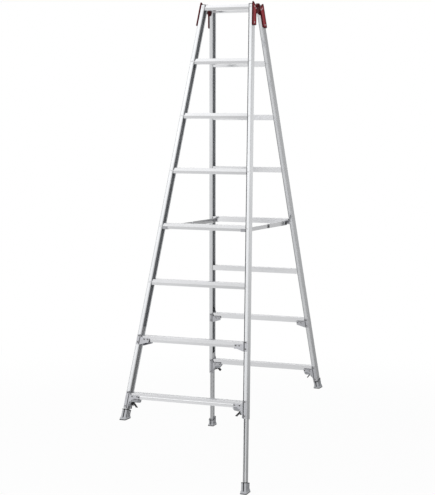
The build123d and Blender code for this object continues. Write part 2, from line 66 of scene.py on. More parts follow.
# Sizes in the frame of a stile, in millimetres: inwards from the web's outer face, depth
# from the ladder's outer face, and down the stile from the level of the top step's nose.
LEVER_PLACE = Vector((35.825, 25.0, 2130.19))
STILE_DEPTH = 50.0
NOSE_PITCH = 301.17  # rung to rung along a stile
PLATE_THICKNESS = 2.5
CASTING_PANEL = 4.9  # the recessed panel's face, out from the web
GUSSET_RUNG = 7  # the rung over the gussets, counted from the top step
LOCK_RUNG = 8  # the rung over the lock brackets

# Camera, fitted to the photograph
CAMERA_PLACE = Vector((2.5355, -6.9098, 1.7435))
CAMERA_TARGET = Vector((-0.1144, 0.0, 1.1383))
CAMERA_ROLL = 0.566  # degrees
CAMERA_LENS = 98.12
CAMERA_SHIFT = (0.0155, 0.0052)


def stile_matrix(end, side):
    """The frame of one stile, whose units are millimetres."""
    tag = f"{end}_{side}"
    inwards = Vector(JOINTS[f"lock_pin_slide_{tag}"]["axis"])
    down = Vector(JOINTS[f"leg_slide_{tag}"]["axis"])
    depth = down.cross(inwards)
    if (depth.y > 0) != (end == "front"):
        depth.negate()
    turn = Matrix((inwards, depth, down)).transposed() * MM
    origin = Vector(JOINTS[f"lever_swing_{tag}"]["pos_m"]) - turn @ LEVER_PLACE
    return Matrix.Translation(origin) @ turn.to_4x4()


def web_line(end, side):
    """A point on the outer face of a stile's web, and the direction inwards."""
    stile = stile_matrix(end, side)
    return stile.translation, stile.to_3x3().col[0].normalized()


# Node trees
NOISE_RANGE = (0.3, 0.7)  # where most values of a noise are


class Tree:
    """The shader nodes of a material or a world."""

    def __init__(self, owner):
        owner.use_nodes = True
        self.nodes = owner.node_tree.nodes
        self.links = owner.node_tree.links

    def add(self, kind, **values):
        node = self.nodes.new(kind)
        for key, value in values.items():
            setattr(node, key, value)
        return node

    def combined(self, operation, first, second):
        node = self.add("ShaderNodeMath", operation=operation)
        self.links.new(first, node.inputs[0])
        self.links.new(second, node.inputs[1])
        return node.outputs["Value"]

    def product(self, first, second):
        return self.combined("MULTIPLY", first, second)

    def ramp(self, value, start, end, low=0.0, high=1.0, kind="LINEAR"):
        """A value that goes from low to high while another goes from start to end."""
        node = self.add("ShaderNodeMapRange", interpolation_type=kind)
        node.inputs["From Min"].default_value = start
        node.inputs["From Max"].default_value = end
        node.inputs["To Min"].default_value = low
        node.inputs["To Max"].default_value = high
        self.links.new(value, node.inputs["Value"])
        return node.outputs["Result"]

    def fade(self, *values):
        """A ramp with soft ends."""
        return self.ramp(*values, kind="SMOOTHSTEP")

    def scaled(self, vector, factor):
        node = self.add("ShaderNodeVectorMath", operation="SCALE")
        self.links.new(vector, node.inputs[0])
        self.links.new(factor, node.inputs["Scale"])
        return node.outputs["Vector"]


class Finish(Tree):
    """A node material about one principled shader."""

    def __init__(self, name, metallic, roughness):
        self.material = bpy.data.materials.new(name)
        super().__init__(self.material)
        self.shader = self.nodes["Principled BSDF"]
        self.shader.inputs["Metallic"].default_value = metallic
        self.shader.inputs["Roughness"].default_value = roughness

    def noise(self, scale, detail=3.0, along=None, stretch=1.0):
        """A noise value, drawn out along a direction where one is given."""
        place = self.add("ShaderNodeTexCoord")
        noise = self.add("ShaderNodeTexNoise")
        noise.inputs["Scale"].default_value = scale
        noise.inputs["Detail"].default_value = detail
        vector = place.outputs["Object"]
        if along is not None:
            mapping = self.add("ShaderNodeMapping", vector_type="TEXTURE")
            turn = UP.rotation_difference(Vector(along))
            mapping.inputs["Rotation"].default_value = turn.to_euler()
            mapping.inputs["Scale"].default_value = (1, 1, stretch)
            self.links.new(vector, mapping.inputs["Vector"])
            vector = mapping.outputs["Vector"]
        self.links.new(vector, noise.inputs["Vector"])
        return noise.outputs["Fac"]

    def spread(self, noise, low, high):
        """A noise brought to a range."""
        return self.ramp(noise, *NOISE_RANGE, low, high)

    def share(self, kind, origin, axis):
        """A coordinate's share along an axis, from an origin."""
        place = self.add("ShaderNodeTexCoord")
        offset = self.add("ShaderNodeVectorMath", operation="SUBTRACT")
        offset.inputs[1].default_value = origin
        share = self.add("ShaderNodeVectorMath", operation="DOT_PRODUCT")
        share.inputs[1].default_value = axis
        self.links.new(place.outputs[kind], offset.inputs[0])
        self.links.new(offset.outputs["Vector"], share.inputs[0])
        return share.outputs["Value"]

    def faces(self, axis, low, high):
        """1 on surfaces that face along an axis, 0 on those that don't."""
        return self.ramp(self.share("Normal", (0, 0, 0), axis), low, high)

    def band(self, origin, axis, reach):
        """1 from where a reach along an axis has started to where it ends, if it does."""
        start, full, *ends = (distance * MM for distance in reach)
        level = self.share("Object", origin, axis)
        inside = self.ramp(level, start, full)
        return self.product(inside, self.ramp(level, ends[1], ends[0])) if ends else inside

    def paint(self, colour):
        """Puts a colour on the shader, and gives it back."""
        self.links.new(colour, self.shader.inputs["Base Color"])
        return colour

    def colour(self, noise, colour, dark, light):
        """A colour that a noise makes darker and lighter by two factors."""
        ramp = self.add("ShaderNodeValToRGB")
        for stop, place, factor in zip(ramp.color_ramp.elements, NOISE_RANGE, (dark, light)):
            stop.position = place
            stop.color = (*(channel * factor for channel in colour), 1)
        self.links.new(noise, ramp.inputs["Fac"])
        return self.paint(ramp.outputs["Color"])

    def shade(self, colour, share, factor):
        """A colour brought down by a factor where a share is 1."""
        return self.paint(self.scaled(colour, self.ramp(share, 0.0, 1.0, 1.0, factor)))

    def rough(self, noise, low, high):
        self.links.new(self.spread(noise, low, high), self.shader.inputs["Roughness"])

    def bump(self, height, strength, distance, edges=()):
        """A fine relief, over edges that are rounded in shading."""
        bump = self.add("ShaderNodeBump")
        bump.inputs["Strength"].default_value = strength
        bump.inputs["Distance"].default_value = distance
        self.links.new(height, bump.inputs["Height"])
        self.links.new(bump.outputs["Normal"], self.shader.inputs["Normal"])
        if edges:
            self.links.new(self.rounded(edges), bump.inputs["Normal"])

    def rounded(self, edges):
        """The normal, leaning over towards an axis within a reach along it, for each edge."""
        total = self.add("ShaderNodeNewGeometry").outputs["Normal"]
        for origin, axis, reach, lean in edges:
            turn = self.add("ShaderNodeVectorTransform", vector_type="VECTOR")
            turn.convert_from, turn.convert_to = "OBJECT", "WORLD"
            turn.inputs["Vector"].default_value = axis * lean
            tip = self.scaled(turn.outputs["Vector"], self.band(origin, axis, reach))
            added = self.add("ShaderNodeVectorMath", operation="ADD")
            self.links.new(total, added.inputs[0])
            self.links.new(tip, added.inputs[1])
            total = added.outputs["Vector"]
        unit = self.add("ShaderNodeVectorMath", operation="NORMALIZE")
        self.links.new(total, unit.inputs[0])
        return unit.outputs["Vector"]


# Finishes
ALUMINIUM = (0.69, 0.70, 0.715)
RUNG_ALUMINIUM = (0.80, 0.805, 0.82)
LEG_ALUMINIUM = (0.76, 0.77, 0.785)
# The casting panel's red, lightened by a painted sheen in place of gloss
CASTING_RED_AND_SHEEN = (0.37, 0.045, 0.055)
CASTING_RIM = (0.085, 0.006, 0.009)
CUP_RED = (0.07, 0.006, 0.009)
BRACKET_STEEL = (0.51, 0.515, 0.54)
FASTENER_STEEL = (0.72, 0.72, 0.73)
BLACK = (0.008, 0.008, 0.009)
HOUSING_GREY = (0.34, 0.345, 0.36)
FOOT_GREY = (0.46, 0.465, 0.48)
# Painted shade for the deep parts of recesses: the grooves of the feet and the hollows of rivets
RECESS_SHADE_COLOUR = (0.05, 0.05, 0.053)

# Rounded edges: where they start, are full and end, inwards from the web, and how far they lean
STILE_LIP = ((14.8, 16.0), 0.23)
LEG_EDGE = ((7.5, 9.0), 0.33)
PLATE_STEP = ((15.0, 15.8, 20.0, 20.8), 0.34)  # pressed into a bracket's plate over the lip
# The painted shade along the step pressed into a bracket's plate: its share of the colour
STEP_PAINTED_SHADE = 0.45
# Painted shade on the inner face of a stile's web, inside the channel: how far in it ends, and
# its share of the colour
WEB_END = (9.0, 7.0)
WEB_FACING = (0.4, 0.8)
WEB_PAINTED_SHADE = 0.55
# The panel of a casting, lightened by a painted sheen: levels below and above its face, and how
# squarely it faces out
PANEL_REACH = (CASTING_PANEL - 0.6, CASTING_PANEL - 0.3, CASTING_PANEL + 0.3, CASTING_PANEL + 0.7)
PANEL_FACING = (0.75, 0.95)
ROUGHNESS_SPREAD = 0.08  # of moulded pieces


def aluminium(name, colour, along, edges=(), channel=None):
    """Satin extrusion with fine lines along it, and painted shade on the web's inner face where
    it is a channel.
    """
    finish = Finish(name, metallic=1.0, roughness=0.4)
    lines = finish.noise(scale=900.0, detail=2.0, along=along, stretch=60.0)
    clouds = finish.noise(scale=9.0, along=along, stretch=4.0)
    base = finish.colour(clouds, colour, dark=0.95, light=1.05)
    if channel is not None:
        origin, inwards = channel
        at_web = finish.band(origin, inwards, WEB_END)
        # painted shade on the web's inner face, inside the channel
        finish.shade(base, finish.product(finish.faces(inwards, *WEB_FACING), at_web), WEB_PAINTED_SHADE)
    finish.rough(lines, low=0.16, high=0.24)
    finish.bump(lines, strength=0.1, distance=0.0002, edges=edges)
    return finish.material


def casting_paint(end, side):
    """Red enamel: lighter in the recessed panel with a painted sheen, dark on the rim, the lug
    and the edges.
    """
    finish = Finish(f"casting_paint_{end}_{side}", metallic=0.0, roughness=0.4)
    finish.shader.inputs["Specular IOR Level"].default_value = 0.05
    origin, inwards = web_line(end, side)
    at_level = finish.band(origin, -inwards, PANEL_REACH)
    in_panel = finish.product(at_level, finish.faces(-inwards, *PANEL_FACING))
    coat = finish.add("ShaderNodeMix", data_type="RGBA")
    coat.inputs["A"].default_value = (*CASTING_RIM, 1)
    coat.inputs["B"].default_value = (*CASTING_RED_AND_SHEEN, 1)
    finish.links.new(in_panel, coat.inputs["Factor"])
    clouds = finish.spread(finish.noise(scale=60.0), low=0.86, high=1.1)
    finish.paint(finish.scaled(coat.outputs["Result"], clouds))
    finish.rough(finish.noise(scale=200.0), low=0.4, high=0.55)
    finish.bump(finish.noise(scale=1200.0), strength=0.1, distance=0.0003)
    return finish.material


def plated_steel(name, colour, edges=()):
    """Plated sheet or fasteners, with painted shade along the steps pressed into them."""
    finish = Finish(name, metallic=1.0, roughness=0.3)
    base = finish.colour(finish.noise(scale=150.0, detail=4.0), colour, dark=0.94, light=1.05)
    for origin, axis, reach, _ in edges:
        # painted shade along each pressed step
        base = finish.shade(base, finish.band(origin, axis, reach), STEP_PAINTED_SHADE)
    finish.rough(finish.noise(scale=400.0), low=0.24, high=0.36)
    finish.bump(finish.noise(scale=1500.0), strength=0.08, distance=0.0002, edges=edges)
    return finish.material


def moulded(name, colour, roughness):
    finish = Finish(name, metallic=0.0, roughness=roughness)
    finish.colour(finish.noise(scale=220.0, detail=5.0), colour, dark=0.93, light=1.06)
    grain = finish.noise(scale=300.0)
    finish.rough(grain, roughness - ROUGHNESS_SPREAD, roughness + ROUGHNESS_SPREAD)
    finish.bump(finish.noise(scale=2500.0, detail=2.0), strength=0.25, distance=0.0003)
    return finish.material


STEEL = plated_steel("fastener_plate", FASTENER_STEEL)
BRACKET = plated_steel("bracket_plate", BRACKET_STEEL)
BLACK_PLASTIC = moulded("black_moulding", BLACK, roughness=0.45)
CUP = moulded("bolt_cup", CUP_RED, roughness=0.45)
HOUSING = moulded("housing_moulding", HOUSING_GREY, roughness=0.5)
FOOT = moulded("foot_moulding", FOOT_GREY, roughness=0.6)
# painted shade for recesses
RECESS_PAINTED_SHADE = moulded("painted_recess_shade", RECESS_SHADE_COLOUR, roughness=0.7)
RUNG = aluminium("rung_extrusion", RUNG_ALUMINIUM, along=(1, 0, 0))
STAY = aluminium("stay_strip", RUNG_ALUMINIUM, along=(0, 1, 0))

# Finishes by the start of a node's name
SHARED = {
    "top_step": RUNG,
    "rung_rivets": STEEL,
    "rung": RUNG,
    "bottom_rung": RUNG,
    "hinge_bolts": STEEL,
    "stay_brackets": BRACKET,
    "stay_link": STAY,
    "pivot_pins": STEEL,
    "lock_pin": STEEL,
    "end_caps": BLACK_PLASTIC,
    "lock_lever": BLACK_PLASTIC,
    "lock_housings": HOUSING,
    "foot": FOOT,
}


def dress(name, material):
    mesh = frame["nodes"][name].data
    mesh.materials.clear()
    mesh.materials.append(material)


def dress_corner(end, side):
    tag = f"{end}_{side}"
    down = JOINTS[f"leg_slide_{tag}"]["axis"]
    web = web_line(end, side)
    lip, edge = [(*web, *STILE_LIP)], [(*web, *LEG_EDGE)]
    dress(f"stile_{tag}", aluminium(f"stile_extrusion_{tag}", ALUMINIUM, down, lip, web))
    dress(f"inner_leg_{tag}", aluminium(f"leg_extrusion_{tag}", LEG_ALUMINIUM, down, edge))
    dress(f"hinge_casting_{tag}", casting_paint(end, side))


def dress_nodes():
    for corner in CORNERS:
        dress_corner(*corner)
    for end in ENDS:
        steps = [(*web_line(end, side), *PLATE_STEP) for side in SIDES]
        plate = plated_steel(f"bracket_plate_{end}", BRACKET_STEEL, steps)
        dress(f"gussets_{end}", plate)
        dress(f"lock_brackets_{end}", plate)
    for name in frame["nodes"]:
        starts = [start for start in SHARED if name.startswith(start)]
        if starts:
            dress(name, SHARED[max(starts, key=len)])


# Making meshes
SHARP_ANGLE = math.radians(35)


def piece(name, mesh_data, body, material):
    """A new object from a bmesh in the row frame, riding on a body."""
    bmesh.ops.recalc_face_normals(mesh_data, faces=mesh_data.faces)
    mesh = bpy.data.meshes.new(name)
    mesh_data.to_mesh(mesh)
    mesh_data.free()
    mesh.materials.append(material)
    for polygon in mesh.polygons:
        polygon.use_smooth = True
    mesh.set_sharp_from_angle(angle=SHARP_ANGLE)
    made = bpy.data.objects.new(name, mesh)
    bpy.context.scene.collection.objects.link(made)
    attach(made, body)
    return made


def lathe(mesh, profile, matrix, segments=20, second_from=None):
    """Adds a turned shape of radius and height pairs, with a second material from one band on."""
    rings = []
    for radius, height in profile:
        if radius == 0:
            rings.append([mesh.verts.new(matrix @ Vector((0, 0, height)))])
            continue
        ring = []
        for step in range(segments):
            angle = 2 * math.pi * step / segments
            spot = Vector((radius * math.cos(angle), radius * math.sin(angle), height))
            ring.append(mesh.verts.new(matrix @ spot))
        rings.append(ring)
    for band, (low, high) in enumerate(zip(rings, rings[1:])):
        for step in range(segments):
            after = (step + 1) % segments
            corners = [low[step % len(low)], low[after % len(low)]]
            corners += [high[after % len(high)], high[step % len(high)]]
            face = mesh.faces.new(list(dict.fromkeys(corners)))
            face.material_index = int(second_from is not None and band >= second_from)


def skin(mesh, rings, closed):
    """Joins rings of points into a band, or into a solid with its first and last ring filled."""
    loops = [[mesh.verts.new(point) for point in ring] for ring in rings]
    for low, high in zip(loops, loops[1:] + (loops[:1] if closed else [])):
        for step in range(len(low)):
            after = (step + 1) % len(low)
            mesh.faces.new((low[step], low[after], high[after], high[step]))
    if not closed:
        mesh.faces.new(loops[0])
        mesh.faces.new(loops[-1])


# Rivets: profiles as shares of the radius and the height
RIVET_RADIUS = 4.6
RIVET_HEIGHT = 2.6
RIVET_PROFILE = (
    (0.0, 0.0), (1.0, 0.0), (1.0, 0.18), (0.92, 0.5), (0.7, 0.85), (0.42, 1.0),
    (0.36, 0.92), (0.33, 0.6), (0.0, 0.55),
)
HOLLOW_RADIUS = 5.4
HOLLOW_PROFILE = (
    (0.0, 0.0), (1.0, 0.0), (1.0, 0.18), (0.95, 0.5), (0.82, 0.88), (0.68, 1.0),
    (0.56, 0.94), (0.52, 0.4), (0.0, 0.35),
)
# The hollow of a rivet is painted with shade from this band on
HOLLOW_BAND = 6  # from which a hollow rivet is dark
# Rivets of the brackets: inset and distance below the rung's nose
GUSSET_RIVETS = ((10.0, -16.0), (10.0, 18.0), (44.0, 2.0), (63.0, 2.0))
LOCK_RIVETS = ((10.0, -18.0), (10.0, 53.0), (38.0, 2.0), (66.0, 2.0))
# Rivets of the castings: depth and distance down the stile
CASTING_RIVETS = ((26.0, -8.0), (46.0, -5.0), (22.0, 82.0))


def rivet(mesh, matrix):
    profile = [(share * RIVET_RADIUS, level * RIVET_HEIGHT) for share, level in RIVET_PROFILE]
    lathe(mesh, profile, matrix)


def hollow_rivet(mesh, matrix):
    profile = [(share * HOLLOW_RADIUS, level * RIVET_HEIGHT) for share, level in HOLLOW_PROFILE]
    lathe(mesh, profile, matrix, second_from=HOLLOW_BAND)


def facing(stile, place, normal):
    """A matrix at a place of a stile's frame whose z axis is a direction in that frame."""
    turn = UP.rotation_difference(Vector(normal)).to_matrix().to_4x4()
    return stile @ Matrix.Translation(place) @ turn


def nose_level(rung_number, inset):
    """Down a stile to a rung's nose line, at a distance inwards from the web."""
    splay = abs(JOINTS["leg_slide_front_right"]["axis"][0])
    return NOSE_PITCH * (rung_number - 1) - inset * splay


def bracket_rivets(end):
    mesh = bmesh.new()
    front, back = -PLATE_THICKNESS, STILE_DEPTH + PLATE_THICKNESS
    for side in SIDES:
        stile = stile_matrix(end, side)
        for number, rivets in ((GUSSET_RUNG, GUSSET_RIVETS), (LOCK_RUNG, LOCK_RIVETS)):
            for inset, below in rivets:
                level = nose_level(number, inset) + below
                hollow_rivet(mesh, facing(stile, (inset, front, level), (0, -1, 0)))
                hollow_rivet(mesh, facing(stile, (inset, back, level), (0, 1, 0)))
    made = piece(f"bracket_rivets_{end}", mesh, f"{end}_ladder", STEEL)
    # painted shade in the rivets' hollows
    made.data.materials.append(RECESS_PAINTED_SHADE)


def casting_rivets(end):
    mesh = bmesh.new()
    for side in SIDES:
        stile = stile_matrix(end, side)
        for depth, level in CASTING_RIVETS:
            rivet(mesh, facing(stile, (-CASTING_PANEL, depth, level), (-1, 0, 0)))
    piece(f"casting_rivets_{end}", mesh, f"{end}_ladder", STEEL)


# Feet: a leg's place in its stile, and the shoe's sizes
LEG_START = 2.3
LEG_WIDTH = 16.2
LEG_DEPTH = 45.4
LEG_STEPS = 10
HOLE_PITCH = 31.0
LEGS_OUT = (("front", "right"), ("rear", "left"))
FOOT_MIDDLE = Vector((LEG_START + LEG_WIDTH / 2, STILE_DEPTH / 2))
FOOT_TOP = 2175.43
FOOT_CORNER = 5.0
SHOE_WALL = 5.6
SOLE_WALL = 9.0
GROOVE_WIDTH = 6.5
GROOVE_DEPTH = 3.4
GROOVE_SECTION = ((-0.5, 0.0), (-0.32, 1.0), (0.32, 1.0), (0.5, 0.0))  # shares of both
GROOVE_FACES = [True, True, True, False]  # which segments from these points are in a groove
END_GROOVES = (0.5,)
SIDE_GROOVES = (0.12, 0.5, 0.88)
# Painted shade fills a groove from this share of its depth on
GROOVE_SHADE_FROM = 0.5  # the share of the depth from which a groove is dark
# Levels of a shoe: share of the way down to the sole, wall and share of the grooves' depth
SHOE_LEVELS = (
    (0.0, 4.6, 1.0), (0.02, 5.2, 1.0), (0.05, SHOE_WALL, 1.0), (0.55, SHOE_WALL, 1.0),
    (0.66, SHOE_WALL + 0.5, 0.9), (0.76, SOLE_WALL - 1.0, 0.3), (0.82, SOLE_WALL - 0.3, 0.0),
    (0.86, SOLE_WALL, 0.0), (0.985, SOLE_WALL, 0.0), (1.0, SOLE_WALL - 0.7, 0.0),
)
# Sections of the seal and the rim: how far they stand out, and the level below or height above
SHOE_SEAL = ((-2.0, 0.4), (0.48, 0.4), (0.8, 1.0), (0.8, 3.4), (0.48, 4.0), (-2.0, 4.0))
SOLE_RIM = ((-3.0, 0.6), (0.2, 0.6), (0.9, 1.2), (0.9, 3.8), (0.3, 4.6), (-3.0, 4.8))
RIM_CORNER_IN = -2.0  # how far a corner's rounding follows a rim inwards


def foot_top(end, side):
    return FOOT_TOP + (LEG_STEPS * HOLE_PITCH if (end, side) in LEGS_OUT else 0.0)


def foot_ground(end, side):
    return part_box(f"foot_{end}_{side}")[0][2]


def above_ground(stile, flat, ground, height):
    """The place in a stile's frame at a height above the ground, below a point of its section."""
    spot = Vector((*flat, 0.0))
    spot.z = (ground + height * MM - (stile @ spot).z) / stile.to_3x3().col[2].z
    return spot


def rounded_ring(width, depth, corner, steps=6):
    """Points round a rectangle with rounded corners, about the origin."""
    points = []
    for turn in range(4):
        sign_x = 1 if turn in (0, 3) else -1
        sign_y = 1 if turn in (0, 1) else -1
        centre = Vector((sign_x * (width / 2 - corner), sign_y * (depth / 2 - corner)))
        for step in range(steps + 1):
            angle = math.pi / 2 * (turn + step / steps)
            points.append(centre + corner * Vector((math.cos(angle), math.sin(angle))))
    return points


def leg_ring(wall, corner):
    """Points round a leg's section at a wall's thickness, about its middle."""
    return rounded_ring(LEG_WIDTH + 2 * wall, LEG_DEPTH + 2 * wall, corner)


def in_stile(points):
    """Points about a leg's middle, brought to the stile's section."""
    return [FOOT_MIDDLE + point for point in points]


def notched(start, end, places, depth):
    """Points along a side from start to end, with grooves cut into it at shares of its length."""
    along = (end - start).normalized()
    inwards = Vector((-along.y, along.x))
    points = []
    for place in places:
        middle = start + (end - start) * place
        for reach, cut in GROOVE_SECTION:
            points.append(middle + along * reach * GROOVE_WIDTH + inwards * cut * depth)
    return points


def shoe_ring(wall, groove):
    """A shoe's section about its middle, and which of its segments are in grooves."""
    ring = leg_ring(wall, FOOT_CORNER)
    corner_size = len(ring) // 4
    points, grooved = [], []
    for turn, places in enumerate((END_GROOVES, SIDE_GROOVES, END_GROOVES, SIDE_GROOVES)):
        arc = ring[turn * corner_size:(turn + 1) * corner_size]
        after = ring[(turn + 1) * corner_size % len(ring)]
        points += arc + notched(arc[-1], after, places, groove * GROOVE_DEPTH)
        grooved += [False] * len(arc) + GROOVE_FACES * len(places)
    return points, grooved


def shoe(end, side):
    """A moulded shoe with grooved sides, painted with shade deep in the grooves, and a flared,
    level sole.
    """
    stile = stile_matrix(end, side)
    top = foot_top(end, side)
    ground = foot_ground(end, side)
    rings = []
    for share, wall, groove in SHOE_LEVELS:
        section, grooved = shoe_ring(wall, groove)
        ring = []
        for flat in in_stile(section):
            bottom = above_ground(stile, flat, ground, 0.0).z
            ring.append(stile @ Vector((*flat, top + share * (bottom - top))))
        rings.append(ring)
    mesh = bmesh.new()
    skin(mesh, rings, closed=False)
    mesh.faces.ensure_lookup_table()
    for level, (_, _, groove) in enumerate(SHOE_LEVELS[:-1]):
        for step, inside in enumerate(grooved):
            if inside and groove > GROOVE_SHADE_FROM:
                mesh.faces[level * len(grooved) + step].material_index = 1
    made = piece(f"shoe_{end}_{side}", mesh, f"leg_{end}_{side}", FOOT)
    # painted shade deep in the grooves
    made.data.materials.append(RECESS_PAINTED_SHADE)
    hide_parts(f"foot_{end}_{side}")


def shoe_rims(end, side):
    """A black seal round a shoe's top, and a black rubber rim round its sole."""
    stile = stile_matrix(end, side)
    body = f"leg_{end}_{side}"
    top = foot_top(end, side)
    ground = foot_ground(end, side)
    rings = []
    for proud, level in SHOE_SEAL:
        flats = in_stile(leg_ring(SHOE_WALL + proud, FOOT_CORNER + proud))
        rings.append([stile @ Vector((*flat, top + level)) for flat in flats])
    mesh = bmesh.new()
    skin(mesh, rings, closed=True)
    piece(f"shoe_seal_{end}_{side}", mesh, body, BLACK_PLASTIC)
    rings = []
    for proud, height in SOLE_RIM:
        flats = in_stile(leg_ring(SOLE_WALL + proud, FOOT_CORNER + max(proud, RIM_CORNER_IN)))
        rings.append([stile @ above_ground(stile, flat, ground, height) for flat in flats])
    mesh = bmesh.new()
    skin(mesh, rings, closed=True)
    piece(f"shoe_rim_{end}_{side}", mesh, body, BLACK_PLASTIC)


# Levers: ridges across both faces of the finger tab
TAB_ANGLE = math.radians(44.0)
TAB_THICKNESS = 4.0
LEVER_WIDTH = 20.0
RIDGES = (20.0, 23.5, 27.0, 30.5)
RIDGE_RADIUS = 0.9
RIDGE_STEPS = 6
RIDGE_INSET = 1.5  # from the lever's sides


def lever_ridges(end, side):
    stile = stile_matrix(end, side)
    mesh = bmesh.new()
    along = Vector((math.cos(TAB_ANGLE), 0, math.sin(TAB_ANGLE)))
    normal = Vector((math.sin(TAB_ANGLE), 0, -math.cos(TAB_ANGLE)))
    for face in (-1, 1):
        for place in RIDGES:
            seat = LEVER_PLACE + along * place + normal * face * TAB_THICKNESS / 2
            loops = []
            for sign in (-1, 1):
                loop = []
                for step in range(RIDGE_STEPS + 1):
                    angle = math.pi * step / RIDGE_STEPS
                    spot = seat + along * RIDGE_RADIUS * math.cos(angle)
                    spot = spot + normal * face * RIDGE_RADIUS * math.sin(angle)
                    spot.y += sign * (LEVER_WIDTH / 2 - RIDGE_INSET)
                    loop.append(stile @ spot)
                loops.append(loop)
            skin(mesh, loops, closed=False)
    body = f"lever_{end}_{side}"
    piece(f"lever_ridges_{end}_{side}", mesh, body, BLACK_PLASTIC)


# Hinge bolts and stays
BOLT_CAP = (
    (0.0, 0.1), (9.6, 0.1), (9.6, -3.4), (10.1, -3.4), (10.1, 0.8), (9.4, 1.7), (7.0, 2.3),
    (4.6, 2.4), (4.2, 1.6), (0.0, 1.5),
)
BOLT_CAP_SEGMENTS = 32
BUFFER_LENGTH = 20.0
BUFFER_WIDTH = 8.5
BUFFER_THICKNESS = 3.2
BUFFER_STEPS = 24
BUFFER_SECTION = ((0.0, 0.0), (0.0, 0.6), (0.25, 0.85), (0.9, 1.0))  # inset, share of thickness
BUFFER_FROM_PIVOT = 0.013  # metres


def bolt_caps():
    """Dark red cups over the hinge bolts' heads."""
    mesh = bmesh.new()
    low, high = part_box("hinge_bolts")
    hinge = Vector(JOINTS["fold"]["pos_m"])
    for sign, edge in ((-1, low[0]), (1, high[0])):
        turn = UP.rotation_difference(Vector((sign, 0, 0))).to_matrix().to_4x4()
        seat = Matrix.Translation((edge, hinge.y, hinge.z)) @ turn @ Matrix.Scale(MM, 4)
        lathe(mesh, BOLT_CAP, seat, BOLT_CAP_SEGMENTS)
    piece("hinge_bolt_caps", mesh, "front_ladder", CUP)


def oblong(mesh, seat, outwards):
    """An upright pad with round ends and a softened edge, on a flat face."""
    sideways = UP.cross(outwards)
    reach = (BUFFER_LENGTH - BUFFER_WIDTH) / 2
    rings = []
    for inset, level in BUFFER_SECTION:
        radius = BUFFER_WIDTH / 2 - inset
        ring = []
        for step in range(BUFFER_STEPS):
            angle = 2 * math.pi * step / BUFFER_STEPS
            lift = reach if step <= BUFFER_STEPS // 2 else -reach
            spot = sideways * radius * math.cos(angle) + UP * (radius * math.sin(angle) + lift)
            ring.append(seat + (spot + outwards * level * BUFFER_THICKNESS) * MM)
        rings.append(ring)
    skin(mesh, rings, closed=False)


def stay_buffers(side):
    """Black buffers on a stay: on its front link at the middle, on its rear link at the end."""
    sign = 1 if side == "right" else -1
    for end in ENDS:
        low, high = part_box(f"stay_link_{end}_{side}")
        pivot = Vector(JOINTS[f"stay_swing_{end}_{side}"]["pos_m"])
        seat = Vector((high[0] if sign > 0 else low[0], 0, (low[2] + high[2]) / 2))
        if end == "rear":
            seat.y = pivot.y - BUFFER_FROM_PIVOT
        mesh = bmesh.new()
        oblong(mesh, seat, Vector((sign, 0, 0)))
        body = f"stay_{end}_{side}"
        piece(f"stay_buffer_{end}_{side}", mesh, body, BLACK_PLASTIC)


# Stage: the floor, and the studio that metal mirrors
FLOOR_HALF = 30.0
FLOOR_GREY = (0.8, 0.8, 0.8)
FLOOR_ROUGHNESS = 0.9
FLOOR_FADE = (1.5, 4.0)  # metres from the middle
FLOOR_NEAR = 0.94  # how white the floor is to the camera near the object
SKY_COLOUR = (0.97, 0.985, 1.0)
SKY_STRENGTH = 0.7
# Height of a direction and the studio's brightness there, at the front and at the back
ROOM_FRONT = (
    (-1.0, 0.75), (-0.6, 0.8), (-0.5, 0.9), (-0.42, 1.05), (-0.36, 0.72), (-0.28, 0.66),
    (-0.1, 0.76), (0.05, 0.6), (0.2, 0.95), (0.34, 1.15), (0.42, 1.25), (0.5, 1.5), (0.58, 1.3),
    (0.66, 0.85), (0.73, 0.68), (0.76, 0.76), (0.8, 0.98), (0.85, 1.12), (0.9, 1.2), (1.0, 1.22),
)
ROOM_BACK = (
    (-1.0, 0.85), (-0.5, 0.8), (-0.32, 0.45), (-0.16, 0.55), (-0.1, 0.78), (-0.03, 1.0),
    (0.06, 1.08), (0.13, 0.85), (0.2, 0.74), (0.3, 0.8), (1.0, 1.2),
)
ROOM_TOP = 1.6  # the brightness that the curves reach at most
FRONT_TO_BACK = (-0.15, 0.15)
# Slopes across the studio: from where to where, and the brightness at both ends
FRONT_SLOPE = (-0.3, -0.42, 0.87, 1.22)
BACK_SLOPE = (-0.1, -0.3, 1.0, 1.25)
# Dim panels: where they rise and fall across the studio, and how bright they are
CAMERA_PANEL = ((0.14, 0.24), (0.48, 0.62), 0.32)  # at the front right
BACK_PANEL = ((0.27, 0.4), (0.55, 0.72), 0.24)  # at the back right
# The dark flag at the front left: where it starts, its levels, and how bright it is
FLAG_ACROSS = (-0.52, -0.66)
FLAG_DEPTH = (-0.05, -0.25)
FLAG_HIGH = (-0.05, 0.1)
FLAG_LOW = (-0.3, -0.42, 0.0, 0.7)
FLAG_DARK = 0.04
# The lamp
KEY_PLACE = Vector((-1.75, -4.2, 4.2))
KEY_TARGET = Vector((0, 0, 1.1))
KEY_SIZE = (4.2, 6.4)
KEY_POWER = 128


def shiny_ray(tree, path):
    """1 for rays that metal or glass sends on."""
    glossy, transmitted = path.outputs["Is Glossy Ray"], path.outputs["Is Transmission Ray"]
    return tree.combined("MAXIMUM", glossy, transmitted)


def mixed(tree, share, first, second):
    """A shader between two others."""
    node = tree.add("ShaderNodeMixShader")
    tree.links.new(share, node.inputs["Fac"])
    tree.links.new(first, node.inputs[1])
    tree.links.new(second, node.inputs[2])
    return node.outputs["Shader"]


